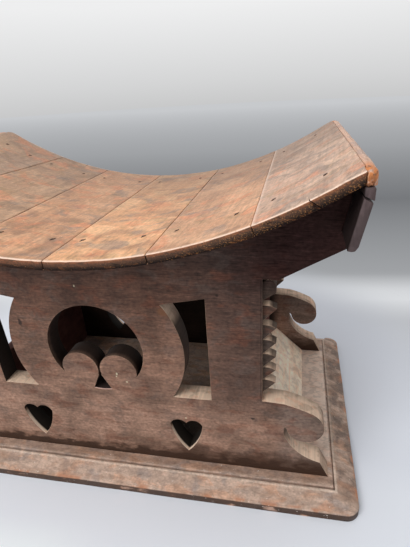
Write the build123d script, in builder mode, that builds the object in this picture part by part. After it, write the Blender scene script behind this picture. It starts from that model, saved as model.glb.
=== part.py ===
from build123d import *

import os
from math import sqrt

# A low stool nailed together from planks. A curved seat of cross slats lies on two pierced
# side panels, which stand on a raised and fielded base board. Between the panels, a sloping
# board at each end runs down from an upright one to the base.
# Millimetres, +Z up. The origin is on the floor, under the middle of the base board. +X is
# to the right and -Y to the front. Heights in the sections are above the base board's top.

# base board
base_length, base_depth, base_height = 526.0, 306.0, 19.5
base_edge_height, base_corner, base_arris = 8.5, 14.0, 2.0
field_length, field_depth, field_step = 476.0, 263.0, 1.5
quirk_width, quirk_depth = 1.4, 1.3
splinter_start, splinter_end, splinter_depth = 150.0, 244.5, 10.0

# side panels
panel_gap, panel_thickness = 200.0, 20.0

# pierced centre of a panel: a round hole with two lobes standing in it, side by side
ring_z, ring_radius = 141.5, 50.0
lobe_x, lobe_z, lobe_radius = 20.6, 116.5, 19.6
slot_half_width, slot_foot_half_width = 1.2, 10.8
neck_z, neck_outer_x = 110.5, 37.0
window_x, window_bottom, window_inner_top, window_outer_top = 115.0, 89.5, 196.0, 204.5
window_ring_radius = 91.5
heart_x, heart_z = 86.0, 15.5
heart_half_width, heart_height, heart_shoulder, heart_dip = 17.3, 44.0, 37.0, 40.0

# waist, sawn into teeth by hand and so unevenly spaced
waist_x, tooth_x = 165.0, 177.3
tooth_tips = (195.0, 175.0, 159.5, 144.0, 128.5, 114.0)
tooth_back, tooth_reach, tooth_crown = 3.0, 12.6, 1.3
tooth_recess = 5.0
shoulder_root_z, shoulder_crown, shoulder_side = 219.5, (170.5, 222.8), (176.5, 216.5)
shoulder_tip_z, shoulder_foot_z, arm_gap_z = 210.5, 203.0, 225.5

# foot, with a scroll that curls back over a narrow slot
foot_x, foot_top = 233.2, (223.6, 19.5)
hollow_middle, hollow_end = (198.2, 34.0), (186.2, 55.0)
slot_end, curl_start = (187.3, 64.2), (189.6, 61.5)
curl_bottom, curl_side = (207.5, 46.0), (225.2, 65.0)
brow, scroll_top = (213.3, 83.0), (186.0, 93.2)
scroll_root_z = 94.6

# arms, which carry the ends of the seat
arm_start, arm_end = (177.5, 224.6), (229.0, 253.5)
rebate_foot, rebate_head = Vector(224.2, 267.0), Vector(231.0, 302.5)
rebate_rise = (rebate_head - rebate_foot).normalized()
rebate_out = Vector(rebate_rise.Y, -rebate_rise.X)

# seat
arc_centre_z, arc_under_radius, slat_thickness = 684.0, 439.0, 8.5
arc_top_radius = arc_under_radius - slat_thickness
slat_joints = (-232.0, -162.0, -86.0, -5.0, 81.5, 160.0, 232.0)
slat_arris, seat_depth = 1.0, 317.0

# pieces that close the ends of the seat
strip_outer_x, strip_bottom, strip_outer_top, strip_round = 240.2, 309.4, 316.5, 2.5
batten_outer_x = 238.0
apron_thickness, apron_round = 6.8, 5.5

# boards between the panels
riser_x, riser_thickness = 145.7, 12.0
ramp_foot_x, ramp_head_z, ramp_thickness = 207.7, 60.0, 12.0

# nails
head_radius, head_facets, head_thickness, head_proud, shank_width = 1.7, 6, 0.8, 0.3, 1.8
seat_nail_xs = (-210, -179, -149, -103, -73, -22, 7, 64, 94, 144, 173, 210)
seat_nail_y, seat_nail_length = 112.0, 24.0
apron_nail_y, apron_nail_rises, apron_nail_length = 107.0, (9.0, 27.0), 24.0
batten_nail_y, batten_nail_z = 112.0, 304.6
strip_nail_ys, short_nail_length = (-128.0, 0.0, 128.0), 13.5
panel_nail_xs, panel_nail_length = (-205, -125, -42, 42, 125, 205), 40.0
riser_nail_ys = (-60.0, 60.0)
ramp_nail_x, ramp_nail_ys, ramp_nail_length = 162.0, (-72.0, 72.0), 19.0

SIDES = {"left": -1, "right": 1}
FRONT_REAR = (-1, 1)
section = Plane(origin=(0, 0, base_height), x_dir=(1, 0, 0), z_dir=(0, -1, 0))

os.makedirs("parts", exist_ok=True)


def save(piece, name):
    piece.part.label = name
    export_step(piece.part, f"parts/{name}.step")


def arc_z(x, radius):
    """Height of one of the seat's arcs at a distance from the middle."""
    return arc_centre_z - sqrt(radius**2 - x**2)


# ---- nails, which are driven first so that each piece can be bored for its own ----


def nails(heads, length, proud=head_proud):
    """Forged nails: a faceted head over a square shank, driven along each plane's normal."""
    with BuildPart() as group:
        with BuildSketch(*[head.offset(-proud) for head in heads]):
            RegularPolygon(head_radius, head_facets)
        extrude(amount=head_thickness)
        with BuildSketch(*heads):
            Rectangle(shank_width, shank_width)
        extrude(amount=length)
    return group


def driven(place, into):
    """Plane at a place on the surface of the wood, facing into it."""
    x, y, z = place
    return Plane(origin=(x, y, base_height + z), x_dir=(0, 1, 0), z_dir=into)


def seat_nail_row(y):
    heads = []
    for x in seat_nail_xs:
        z = arc_z(x, arc_top_radius)
        heads.append(driven((x, y, z), (x, 0, z - arc_centre_z)))
    return nails(heads, seat_nail_length)


def end_nails(side):
    """Long nails through the apron, and short ones through the batten and the strip."""
    apron_heads = []
    for y in (-apron_nail_y, apron_nail_y):
        for height in apron_nail_rises:
            face = rebate_foot + rebate_rise * height + rebate_out * apron_thickness
            into = (-side * rebate_out.X, 0, -rebate_out.Y)
            apron_heads.append(driven((side * face.X, y, face.Y), into))
    short_heads = []
    for y in (-batten_nail_y, batten_nail_y):
        short_heads.append(driven((side * batten_outer_x, y, batten_nail_z), (-side, 0, 0)))
    strip_x = (rebate_head.X + batten_outer_x) / 2
    for y in strip_nail_ys:
        short_heads.append(driven((side * strip_x, y, strip_top_z(strip_x)), (0, 0, -1)))
    with BuildPart() as group:
        add(nails(apron_heads, apron_nail_length).part)
        add(nails(short_heads, short_nail_length).part)
    return group


def strip_top_z(x):
    """Height of the end strip's top, which falls from the last slat to the outer edge."""
    inner_z = arc_z(slat_joints[-1], arc_top_radius)
    fall = (x - slat_joints[-1]) / (strip_outer_x - slat_joints[-1])
    return inner_z + fall * (strip_outer_top - inner_z)


def base_nail_heads():
    places = [(x, side * seat_nail_y) for x in panel_nail_xs for side in FRONT_REAR]
    places += [(side * (riser_x + riser_thickness / 2), y) for side in (-1, 1) for y in riser_nail_ys]
    return [Plane(origin=(x, y, 0), x_dir=(1, 0, 0), z_dir=(0, 0, 1)) for x, y in places]


def ramp_nails():
    fall = ramp_head_z / (ramp_foot_x - riser_x)
    z = ramp_head_z - fall * (ramp_nail_x - riser_x)
    heads = []
    for side in SIDES.values():
        heads += [driven((side * ramp_nail_x, y, z), (-side * fall, 0, -1)) for y in ramp_nail_ys]
    return nails(heads, ramp_nail_length)


seat_nails_front = seat_nail_row(-seat_nail_y)
seat_nails_rear = seat_nail_row(seat_nail_y)
end_nails_left = end_nails(SIDES["left"])
end_nails_right = end_nails(SIDES["right"])
base_nails = nails(base_nail_heads(), panel_nail_length, proud=0.0)
ramp_nail_group = ramp_nails()

save(seat_nails_front, "seat_nails_front")
save(seat_nails_rear, "seat_nails_rear")
save(end_nails_left, "end_nails_left")
save(end_nails_right, "end_nails_right")
save(base_nails, "base_nails")
save(ramp_nail_group, "ramp_nails")


# ---- base board: a flat field, a step with a quirk at its foot, and a bevel to a thin edge ----

with BuildPart() as base_board:
    with BuildSketch():
        RectangleRounded(base_length, base_depth, base_corner)
    extrude(amount=base_edge_height)
    with BuildSketch(Plane.XY.offset(base_edge_height)):
        RectangleRounded(base_length, base_depth, base_corner)
    with BuildSketch(Plane.XY.offset(base_height - field_step)):
        RectangleRounded(field_length + field_step, field_depth + field_step, field_step)
    loft(ruled=True)
    with BuildSketch(Plane.XY.offset(base_height - field_step)):
        Rectangle(field_length, field_depth)
    extrude(amount=field_step)
    with BuildSketch(Plane.XY.offset(base_height - field_step)):
        Rectangle(field_length + 2 * quirk_width, field_depth + 2 * quirk_width)
        Rectangle(field_length, field_depth, mode=Mode.SUBTRACT)
    extrude(amount=-quirk_depth, mode=Mode.SUBTRACT)
    fillet(base_board.edges().filter_by_position(Axis.Z, base_edge_height, base_edge_height), base_arris)
    with BuildSketch():
        with BuildLine():
            # a splinter lost from the rear edge, along the grain
            Polyline(
                (splinter_start, base_depth / 2 + 1),
                (splinter_end, base_depth / 2 - splinter_depth),
                (splinter_end, base_depth / 2 + 1),
                close=True,
            )
        make_face()
    extrude(amount=base_height, mode=Mode.SUBTRACT)
    add(base_nails.part, mode=Mode.SUBTRACT)

save(base_board, "base_board")


# ---- side panels: fretwork, the same on both sides of the middle ----


def waist_edge():
    """The sawn edge of the waist, from the arm down over its rounded first tooth and the others."""
    Polyline(arm_start, (waist_x, arm_gap_z), (waist_x, shoulder_root_z))
    ThreePointArc((waist_x, shoulder_root_z), shoulder_crown, shoulder_side)
    Polyline(shoulder_side, (shoulder_side[0], shoulder_tip_z), (waist_x, shoulder_foot_z))
    Line((waist_x, shoulder_foot_z), (waist_x, tooth_tips[0] + tooth_back))
    for tip, below in zip(tooth_tips, tooth_tips[1:] + (scroll_root_z - tooth_back,)):
        crown = ((waist_x + tooth_x) / 2, tip + tooth_back / 2 + tooth_crown)
        ThreePointArc((waist_x, tip + tooth_back), crown, (tooth_x, tip))
        root_z = max(tip - tooth_reach, below + tooth_back)
        Line((tooth_x, tip), (waist_x, root_z))
        if root_z > below + tooth_back:
            Line((waist_x, root_z), (waist_x, below + tooth_back))


def window_inner_x(z):
    """Distance of a window's curved inner edge from the middle."""
    return sqrt(window_ring_radius**2 - (z - ring_z) ** 2)


with BuildSketch() as heart:
    with BuildLine():
        lobe = ThreePointArc(
            (0, heart_dip),
            (heart_half_width / 2, heart_height),
            (heart_half_width, heart_shoulder),
        )
        ThreePointArc(lobe @ 1, (0.68 * heart_half_width, 0.4 * heart_height), (0, 0))
        mirror(about=Plane.YZ)
    make_face()

with BuildSketch() as panel_face:
    with BuildLine():
        Polyline((0, 0), (foot_x, 0), foot_top)
        ThreePointArc(foot_top, hollow_middle, hollow_end)
        Polyline(hollow_end, slot_end, curl_start)
        curl = ThreePointArc(curl_start, curl_bottom, curl_side)
        cheek = TangentArc(curl_side, brow, tangent=curl % 1)
        TangentArc(brow, scroll_top, tangent=cheek % 1)
        Line(scroll_top, (waist_x, scroll_root_z))
        waist_edge()
        ledge = rebate_foot + rebate_out * ((arm_end[0] - rebate_foot.X) / rebate_out.X)
        arm_top = Vector(rebate_head.X, arc_z(rebate_head.X, arc_under_radius))
        Polyline(arm_start, arm_end, ledge, rebate_foot, rebate_head, arm_top)
        arc_middle = (arm_top.X / 2, arc_z(arm_top.X / 2, arc_under_radius))
        ThreePointArc(arm_top, arc_middle, (0, arc_z(0, arc_under_radius)))
        mirror(about=Plane.YZ)
    make_face()
    with Locations((0, ring_z)):
        Circle(ring_radius, mode=Mode.SUBTRACT)
    with Locations((-lobe_x, lobe_z), (lobe_x, lobe_z)):
        Circle(lobe_radius)
    for side in SIDES.values():
        with BuildLine():
            # the neck of a lobe, which leaves a slot that widens at its foot
            Polyline(
                (side * slot_half_width, neck_z),
                (side * slot_foot_half_width, ring_z - ring_radius - 1),
                (side * neck_outer_x, ring_z - ring_radius - 1),
                (side * neck_outer_x, neck_z),
                close=True,
            )
        make_face()
        low = (side * window_inner_x(window_bottom), window_bottom)
        high = (side * window_inner_x(window_inner_top), window_inner_top)
        with BuildLine():
            ThreePointArc(low, (side * window_ring_radius, ring_z), high)
            Polyline(high, (side * window_x, window_outer_top), (side * window_x, window_bottom), low)
        make_face(mode=Mode.SUBTRACT)
    with Locations((-heart_x, heart_z), (heart_x, heart_z)):
        add(heart.sketch, mode=Mode.SUBTRACT)


with BuildSketch() as tooth_strips:
    strip_top_edge = arm_start[1] - 0.5
    strip_middle = ((waist_x + foot_x) / 2, (scroll_root_z + strip_top_edge) / 2)
    with Locations(strip_middle, (-strip_middle[0], strip_middle[1])):
        Rectangle(foot_x - waist_x, strip_top_edge - scroll_root_z)


def side_panel(rear_y, seat_nails):
    with BuildPart() as panel:
        with BuildSketch(section.offset(-rear_y)):
            add(panel_face.sketch)
        extrude(amount=panel_thickness)
        # the teeth are thinned on both faces, back to a scribed line
        for face_y, depth in ((rear_y, tooth_recess), (rear_y - panel_thickness, -tooth_recess)):
            with BuildSketch(section.offset(-face_y)):
                add(tooth_strips.sketch)
            extrude(amount=depth, mode=Mode.SUBTRACT)
        for group in (seat_nails, end_nails_left, end_nails_right, base_nails):
            add(group.part, mode=Mode.SUBTRACT)
    return panel


save(side_panel(-panel_gap / 2, seat_nails_front), "side_panel_front")
save(side_panel(panel_gap / 2 + panel_thickness, seat_nails_rear), "side_panel_rear")


# ---- seat: slats bent over the arcs of the panels ----


def slat_corner(x, radius):
    """A corner of a slat, square to the seat at a joint and plumb at the seat's ends."""
    if abs(x) < slat_joints[-1]:
        x *= radius / arc_top_radius
    return Vector(x, arc_z(x, radius))


def seat_slat(left, right):
    middle = (left + right) / 2
    with BuildPart() as slat:
        with BuildSketch(section):
            with BuildLine():
                over = ThreePointArc(
                    slat_corner(left, arc_top_radius),
                    (middle, arc_z(middle, arc_top_radius)),
                    slat_corner(right, arc_top_radius),
                )
                under = ThreePointArc(
                    slat_corner(left, arc_under_radius),
                    (middle, arc_z(middle, arc_under_radius)),
                    slat_corner(right, arc_under_radius),
                )
                Line(over @ 0, under @ 0)
                Line(over @ 1, under @ 1)
            make_face()
        extrude(amount=seat_depth / 2, both=True)
        seat_axis = (0, 0, base_height + arc_centre_z)
        fillet(slat.edges().filter_by(Axis.Y).sort_by_distance(seat_axis)[:2], slat_arris)
        add(seat_nails_front.part, mode=Mode.SUBTRACT)
        add(seat_nails_rear.part, mode=Mode.SUBTRACT)
    return slat


for number, (left, right) in enumerate(zip(slat_joints, slat_joints[1:]), 1):
    save(seat_slat(left, right), f"seat_slat_{number}")


# ---- ends of the seat: a strip over a batten, and a leaning apron below ----


def board(outline, side, depth, bores):
    """A board that runs from front to rear, from its section and the nails that pass it."""
    with BuildPart() as piece:
        with BuildSketch(section):
            with BuildLine():
                Polyline(*[(side * x, z) for x, z in outline], close=True)
            make_face()
        extrude(amount=depth / 2, both=True)
        for group in bores:
            add(group.part, mode=Mode.SUBTRACT)
    return piece


def long_edge(piece, x, z):
    """The edge from front to rear that is nearest a place in the section."""
    return piece.edges().filter_by(Axis.Y).sort_by_distance((x, 0, base_height + z))[0]


def end_strip(side, bores):
    inner_x = slat_joints[-1]
    inner_top = strip_top_z(inner_x)
    outline = (
        (inner_x, strip_bottom),
        (strip_outer_x, strip_bottom),
        (strip_outer_x, strip_outer_top),
        (inner_x, inner_top),
    )
    strip = board(outline, side, seat_depth, bores)
    with BuildPart() as worn:
        add(strip.part)
        fillet(long_edge(worn, side * strip_outer_x, strip_outer_top), strip_round)
    return worn


def end_batten(side, bores):
    outline = (
        (rebate_head.X, rebate_head.Y),
        (batten_outer_x, rebate_head.Y),
        (batten_outer_x, strip_bottom),
        (rebate_head.X, strip_bottom),
    )
    return board(outline, side, seat_depth, bores)


def end_apron(side, bores):
    foot_out = rebate_foot + rebate_out * apron_thickness
    head_out = foot_out + rebate_rise * ((rebate_head.Y - foot_out.Y) / rebate_rise.Y)
    corners = (rebate_foot, foot_out, head_out, rebate_head)
    apron = board([(corner.X, corner.Y) for corner in corners], side, seat_depth, bores)
    with BuildPart() as worn:
        add(apron.part)
        fillet(long_edge(worn, side * foot_out.X, foot_out.Y), apron_round)
    return worn


for name, side in SIDES.items():
    bores = [end_nails_left if name == "left" else end_nails_right]
    save(end_strip(side, bores), f"end_strip_{name}")
    save(end_batten(side, bores), f"end_batten_{name}")
    save(end_apron(side, bores), f"end_apron_{name}")


# ---- boards between the panels: an upright one, and a ramp that covers its top ----

ramp_fall = ramp_head_z / (ramp_foot_x - riser_x)
ramp_depth = ramp_thickness * sqrt(1 + ramp_fall**2)
ramp_outline = (
    (ramp_foot_x, 0),
    (riser_x, ramp_head_z),
    (riser_x, ramp_head_z - ramp_depth),
    (ramp_foot_x - ramp_depth / ramp_fall, 0),
)
riser_outline = (
    (riser_x, 0),
    (riser_x + riser_thickness, 0),
    (riser_x + riser_thickness, ramp_head_z - ramp_depth - ramp_fall * riser_thickness),
    (riser_x, ramp_head_z - ramp_depth),
)
for name, side in SIDES.items():
    save(board(ramp_outline, side, panel_gap, [ramp_nail_group]), f"ramp_{name}")
    save(board(riser_outline, side, panel_gap, [ramp_nail_group, base_nails]), f"riser_{name}")
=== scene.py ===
from math import radians, sqrt

import bmesh
import bpy
from mathutils import Matrix, Vector, noise


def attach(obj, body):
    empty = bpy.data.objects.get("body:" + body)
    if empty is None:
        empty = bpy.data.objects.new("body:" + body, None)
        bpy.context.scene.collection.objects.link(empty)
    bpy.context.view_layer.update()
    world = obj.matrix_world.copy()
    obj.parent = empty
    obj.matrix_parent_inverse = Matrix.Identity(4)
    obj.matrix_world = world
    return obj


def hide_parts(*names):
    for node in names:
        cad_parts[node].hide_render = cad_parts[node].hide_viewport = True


# A low stool nailed together from planks: a dished seat of six cross slats on two fretwork
# panels, over a bevelled base board. The pieces are shaped in millimetres and finished in metres.

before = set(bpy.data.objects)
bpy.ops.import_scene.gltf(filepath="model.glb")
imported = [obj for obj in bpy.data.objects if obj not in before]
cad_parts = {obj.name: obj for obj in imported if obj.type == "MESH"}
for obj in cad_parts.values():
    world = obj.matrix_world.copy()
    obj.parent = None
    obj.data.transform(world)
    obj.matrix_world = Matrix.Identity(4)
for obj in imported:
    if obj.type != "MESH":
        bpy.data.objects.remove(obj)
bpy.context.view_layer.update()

# the unevenness of the wood comes out the same at every run
wear_seed = 5
noise.seed_set(wear_seed)

MM = 0.001

# base board and side panels
base_height, base_edge_height, field_length, field_depth = 19.5, 8.5, 476.0, 263.0
base_length, base_depth = 526.0, 306.0
panel_inner_y, panel_outer_y, tooth_recess = 100.0, 120.0, 5.0

# seat, in heights above the base board
arc_centre_z, arc_top_radius, slat_thickness = 684.0, 430.5, 8.5
slat_joints = (-232.0, -162.0, -86.0, -5.0, 81.5, 160.0, 232.0)
seat_depth, plumb_run = 317.0, 30.0
joint_gaps = (0.1, 0.3, 0.22, 0.25, 0.35, 0.05, 0.3)
joint_skews = (0.0, 8.0, 0.0, 0.0, 0.0, 0.0, 0.0)
slat_arris, slat_step = 0.9, 3.0
lip_run, end_sag, end_sag_run = 6.0, 0.7, 5.0
corner_round, corner_sag, corner_wear = 12.0, 3.0, 22.0
seat_nail_xs = (-210, -179, -149, -103, -73, -22, 7, 64, 94, 144, 173, 210)
seat_nail_y = 112.0

# ends of the seat
strip_outer_x, strip_bottom = 240.2, 309.4
batten_inner_x, batten_outer_x, batten_bottom = 231.0, 238.0, 302.5
apron_foot, apron_head, apron_thickness = Vector((224.2, 267.0)), Vector((231.0, 302.5)), 6.8

# boards between the panels
riser_x, riser_thickness, riser_head_z = 145.7, 12.0, 91.5
ramp_foot_x, ramp_head_z, ramp_thickness, panel_gap = 207.7, 48.4, 12.0, 200.0

SIDES = {"left": -1, "right": 1}
# a slat's finishes, by number: 0 is its top
END_GRAIN, HIDDEN, CUT, slat_finishes = 1, 2, 3, 4
seat_end = slat_joints[-1]

# the same edges for the finishes, in metres from the stool's middle or from the floor
field_edge_x, field_edge_y = field_length / 2 * MM, field_depth / 2 * MM
board_edge_x, board_edge_y, board_edge_z = base_length / 2 * MM, base_depth / 2 * MM, base_edge_height * MM
panel_back_y, panel_face_y = panel_inner_y * MM, panel_outer_y * MM
# the waist of a panel, with the line scribed beside its teeth
scribed_x, waist_x, waist_foot_z, waist_head_z = 0.1640, 0.1650, 0.1140, 0.2430


def arc_top_z(x):
    """Height of the seat's upper arc at a distance from the middle."""
    return arc_centre_z - sqrt(arc_top_radius**2 - x**2)


# ---- finishes: colours in layers, each laid over the ones before it ----


def paint(red, green, blue):
    """A colour in linear light, from its values on a screen."""
    return tuple((value / 255) ** 2.2 for value in (red, green, blue)) + (1.0,)


class Finish:
    """A surface built up in layers from the object's own coordinates, in metres."""

    def __init__(self, name, ground, specular=0.3):
        self.material = bpy.data.materials.new(name)
        self.material.use_nodes = True
        tree = self.material.node_tree
        self.nodes, self.links = tree.nodes, tree.links
        self.shader = self.nodes["Principled BSDF"]
        self.shader.inputs["Specular IOR Level"].default_value = specular
        self.where = self.add("TexCoord", {}, "Object")
        self.colour = ground
        self.height = None

    def add(self, kind, inputs, output=0, **settings):
        node = self.nodes.new("ShaderNode" + kind)
        for name, value in settings.items():
            setattr(node, name, value)
        for key, value in inputs.items():
            if isinstance(value, bpy.types.ShaderNode):
                value = value.outputs[0]
            if isinstance(value, bpy.types.NodeSocket):
                self.links.new(value, node.inputs[key])
            else:
                node.inputs[key].default_value = value
        return node.outputs[output]

    def grain(self, size, turn=0.0, seed=0.0, detail=3.0, warp=0.0):
        """Noise whose marks have about this size along each axis, turned about the vertical."""
        place = self.add(
            "Mapping",
            {"Vector": self.where, "Location": (seed, seed, seed), "Rotation": (0, 0, turn), "Scale": size},
            vector_type="TEXTURE",
        )
        return self.add("TexNoise", {"Vector": place, "Scale": 1.0, "Detail": detail, "Distortion": warp})

    def band(self, value, low, high):
        """Nothing up to low, everything from high."""
        inputs = {"Value": value, "From Min": low, "From Max": high}
        return self.add("MapRange", inputs, interpolation_type="SMOOTHSTEP")

    def calc(self, operation, first, second=0.0):
        return self.add("Math", {0: first, 1: second}, operation=operation)

    def times(self, share, *others):
        for other in others:
            share = self.calc("MULTIPLY", share, other)
        return share

    def rest(self, share):
        """Everything where the share is nothing."""
        return self.calc("SUBTRACT", 1.0, share)

    def along(self, axis):
        return self.add("SeparateXYZ", {"Vector": self.where}, axis)

    def off_middle(self, axis):
        """Distance from the stool's middle, to either side."""
        return self.calc("ABSOLUTE", self.along(axis))

    def facing(self, axis):
        normal = self.add("NewGeometry", {}, "Normal")
        return self.add("SeparateXYZ", {"Vector": normal}, axis)

    def facing_out(self):
        """Positive on a wall that faces an end of the stool, negative on one that faces its middle."""
        return self.times(self.facing("X"), self.along("X"))

    def stored(self, name):
        """What the shaping has left on each corner or face, from 0 to 1."""
        return self.add("Attribute", {}, "Fac", attribute_name=name)

    def lay(self, share, colour, mode="MIX"):
        """Lays a colour over the finish, as thickly as the share says."""
        inputs = {0: share, 6: self.colour, 7: colour}
        self.colour = self.add("Mix", inputs, 2, data_type="RGBA", blend_type=mode)

    def deepen(self, share, by):
        """Makes the finish darker or lighter by a factor, as thickly as the share says."""
        self.lay(share, (by, by, by, 1.0), "MULTIPLY")

    def tint(self, value, edges, colour, share):
        """Lays a colour where a value passes from one edge to the other."""
        self.lay(self.times(self.band(value, *edges), share), colour)

    def tone(self, value, edges, by, share):
        """Makes the finish darker or lighter where a value passes from one edge to the other."""
        self.deepen(self.times(self.band(value, *edges), share), by)

    def relief(self, value, depth):
        """Raises the surface with the value, by the depth in millimetres."""
        rise = self.times(value, depth * MM)
        self.height = rise if self.height is None else self.calc("ADD", self.height, rise)

    def done(self, roughness, varied=None, spread=0.2):
        """Joins the layers to the shader."""
        if isinstance(self.colour, tuple):
            self.shader.inputs["Base Color"].default_value = self.colour
        else:
            self.links.new(self.colour, self.shader.inputs["Base Color"])
        if varied is None:
            self.shader.inputs["Roughness"].default_value = roughness
        else:
            inputs = {"Value": varied, "To Min": roughness - spread / 2, "To Max": roughness + spread / 2}
            self.links.new(self.add("MapRange", inputs), self.shader.inputs["Roughness"])
        if self.height is not None:
            bump = self.add("Bump", {"Height": self.height, "Distance": 1.0, "Strength": 1.0})
            self.links.new(bump, self.shader.inputs["Normal"])
        return self.material


def seat_finish(number, ground, pale, deep):
    """Oiled and scuffed wood, clouded with handling, with scrubbing marks across its grain."""
    wood = Finish(f"seat_wood_{number}", ground, specular=0.35)
    seed = 0.37 * number
    cloud = wood.grain((0.050, 0.044, 0.05), seed=seed + 1, detail=7, warp=0.6)
    wood.tint(cloud, (0.47, 0.62), deep, 0.70)
    glow = wood.grain((0.042, 0.040, 0.04), seed=seed + 2, detail=6, warp=0.6)
    wood.tint(glow, (0.48, 0.62), pale, 0.75)
    grey = wood.grain((0.036, 0.026, 0.04), seed=seed + 3, detail=6, warp=0.8)
    wood.tint(grey, (0.53, 0.65), paint(136, 120, 110), 0.58)
    pink = wood.grain((0.030, 0.022, 0.03), seed=seed + 5, detail=4, warp=0.8)
    wood.tint(pink, (0.52, 0.68), paint(228, 140, 96), 0.50)
    olive = wood.grain((0.024, 0.018, 0.03), seed=seed + 6, detail=4, warp=0.8)
    wood.tint(olive, (0.54, 0.68), paint(152, 124, 86), 0.4)
    figure = wood.grain((0.0026, 0.06, 0.01), turn=-0.07, seed=seed, detail=5, warp=0.3)
    wood.tone(figure, (0.5, 0.32), 0.80, 0.7)
    wood.tone(figure, (0.5, 0.68), 1.16, 0.6)
    speckle = wood.grain((0.0032, 0.0040, 0.003), seed=seed + 8, detail=4)
    wood.tone(speckle, (0.5, 0.34), 0.86, 0.9)
    wood.tone(speckle, (0.5, 0.66), 1.15, 0.9)
    scuff = wood.grain((0.0013, 0.012, 0.004), turn=-0.42, seed=seed + 7, detail=4)
    wood.tint(scuff, (0.55, 0.70), paint(242, 192, 152), 0.38)
    gouge = wood.grain((0.0012, 0.012, 0.004), turn=-0.5, seed=seed + 9, detail=4)
    wood.tint(gouge, (0.58, 0.72), paint(116, 84, 66), 0.4)
    pores = wood.grain((0.0009, 0.0026, 0.002), turn=-0.1, seed=seed + 11, detail=3)
    wood.tone(pores, (0.54, 0.68), 0.74, 0.5)
    nick = wood.grain((0.0035, 0.002, 0.003), turn=0.3, seed=seed + 13, detail=4)
    wood.tint(nick, (0.68, 0.72), paint(248, 212, 178), 0.85)
    # painted shade: each slat darker towards the rear, more so on the right half
    right_half, to_rear = number > 3, wood.along("Y")
    wood.tint(to_rear, (-0.10, 0.17), paint(122, 94, 74), 0.54 if right_half else 0.36)
    if right_half:
        wood.deepen(wood.band(to_rear, -0.06, 0.07), 0.86)
    # the worn arris painted pale, partly wear and partly painted highlight, strongest along the front and
    # fainter to the rear
    front = wood.add("MapRange", {"Value": to_rear, "From Min": -0.150, "From Max": -0.156, "To Min": 0.62})
    rubbed = wood.band(speckle, 0.18, 0.44)
    wood.lay(wood.times(wood.stored("worn"), rubbed, front), paint(255, 226, 204))
    wood.relief(figure, 0.12)
    wood.relief(wood.band(gouge, 0.57, 0.70), -0.14)
    wood.relief(wood.band(pores, 0.54, 0.68), -0.10)
    wood.relief(scuff, 0.10)
    wood.relief(speckle, 0.15)
    wood.relief(glow, 0.5)
    return wood.done(0.48, scuff, 0.3)


def slat_end_finish():
    """End grain gone dark, browner under the arris, with golden flecks of broken fibre."""
    wood = Finish("slat_end_grain", paint(132, 74, 46), specular=0.15)
    length = wood.along("X")
    wood.tint(length, (-0.09, 0.0), paint(54, 31, 23), 0.9)
    wood.tint(length, (0.05, 0.10), paint(44, 22, 14), 0.8)
    layer = wood.grain((0.010, 0.010, 0.0024), detail=6, warp=0.6)
    ragged = wood.calc("ADD", wood.stored("low"), wood.times(layer, 0.5))
    wood.tint(ragged, (0.66, 0.42), paint(140, 74, 40), 0.7)
    wood.tint(ragged, (0.70, 0.98), paint(22, 13, 11), 0.88)
    wood.tint(layer, (0.52, 0.66), paint(108, 66, 40), 0.6)
    wood.tint(layer, (0.50, 0.34), paint(24, 14, 12), 0.85)
    fleck = wood.grain((0.0012, 0.002, 0.0008), seed=2, detail=5)
    many = wood.band(length, -0.02, 0.19)
    cut_off = wood.add("MapRange", {"Value": many, "To Min": 0.66, "To Max": 0.57})
    wood.tint(wood.calc("SUBTRACT", fleck, cut_off), (-0.02, 0.06), paint(160, 110, 66), 0.65)
    pit = wood.grain((0.0016, 0.002, 0.0014), seed=4, detail=3)
    wood.tint(pit, (0.54, 0.66), paint(24, 15, 13), 0.8)
    wood.lay(wood.times(wood.stored("worn"), wood.band(layer, 0.22, 0.38)), paint(255, 206, 172))
    wood.relief(layer, 0.6)
    wood.relief(fleck, 0.5)
    wood.relief(pit, -0.6)
    return wood.done(0.7)


def underside_finish():
    """The hidden side of the seat, painted dark as the shade under it."""
    wood = Finish("shaded_underside", paint(54, 40, 33), specular=0.15)
    figure = wood.grain((0.005, 0.12, 0.02), detail=5, warp=0.4)
    wood.tint(figure, (0.45, 0.7), paint(78, 58, 46), 0.6)
    wood.tint(figure, (0.5, 0.3), paint(32, 24, 20), 0.7)
    wood.relief(figure, 0.3)
    return wood.done(0.8)


# knocks and splashes on the panels: place and half size in X and Z, in metres, and colour
white, soot, rusty = paint(206, 196, 166), paint(40, 32, 29), paint(112, 76, 54)
panel_marks = (
    ((0.0184, 0.1325), (0.0008, 0.0014), white),
    ((0.0176, 0.1292), (0.0007, 0.0008), white),
    ((0.0280, 0.1232), (0.0010, 0.0009), white),
    ((0.0865, 0.0819), (0.0008, 0.0010), white),
    ((-0.0066, 0.2315), (0.0006, 0.0010), white),
    ((-0.0746, 0.1882), (0.0018, 0.0042), soot),
    ((0.1560, 0.0903), (0.0020, 0.0012), soot),
    ((0.1264, 0.2279), (0.0014, 0.0012), soot),
    ((0.0759, 0.2086), (0.0052, 0.0040), rusty),
)


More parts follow.
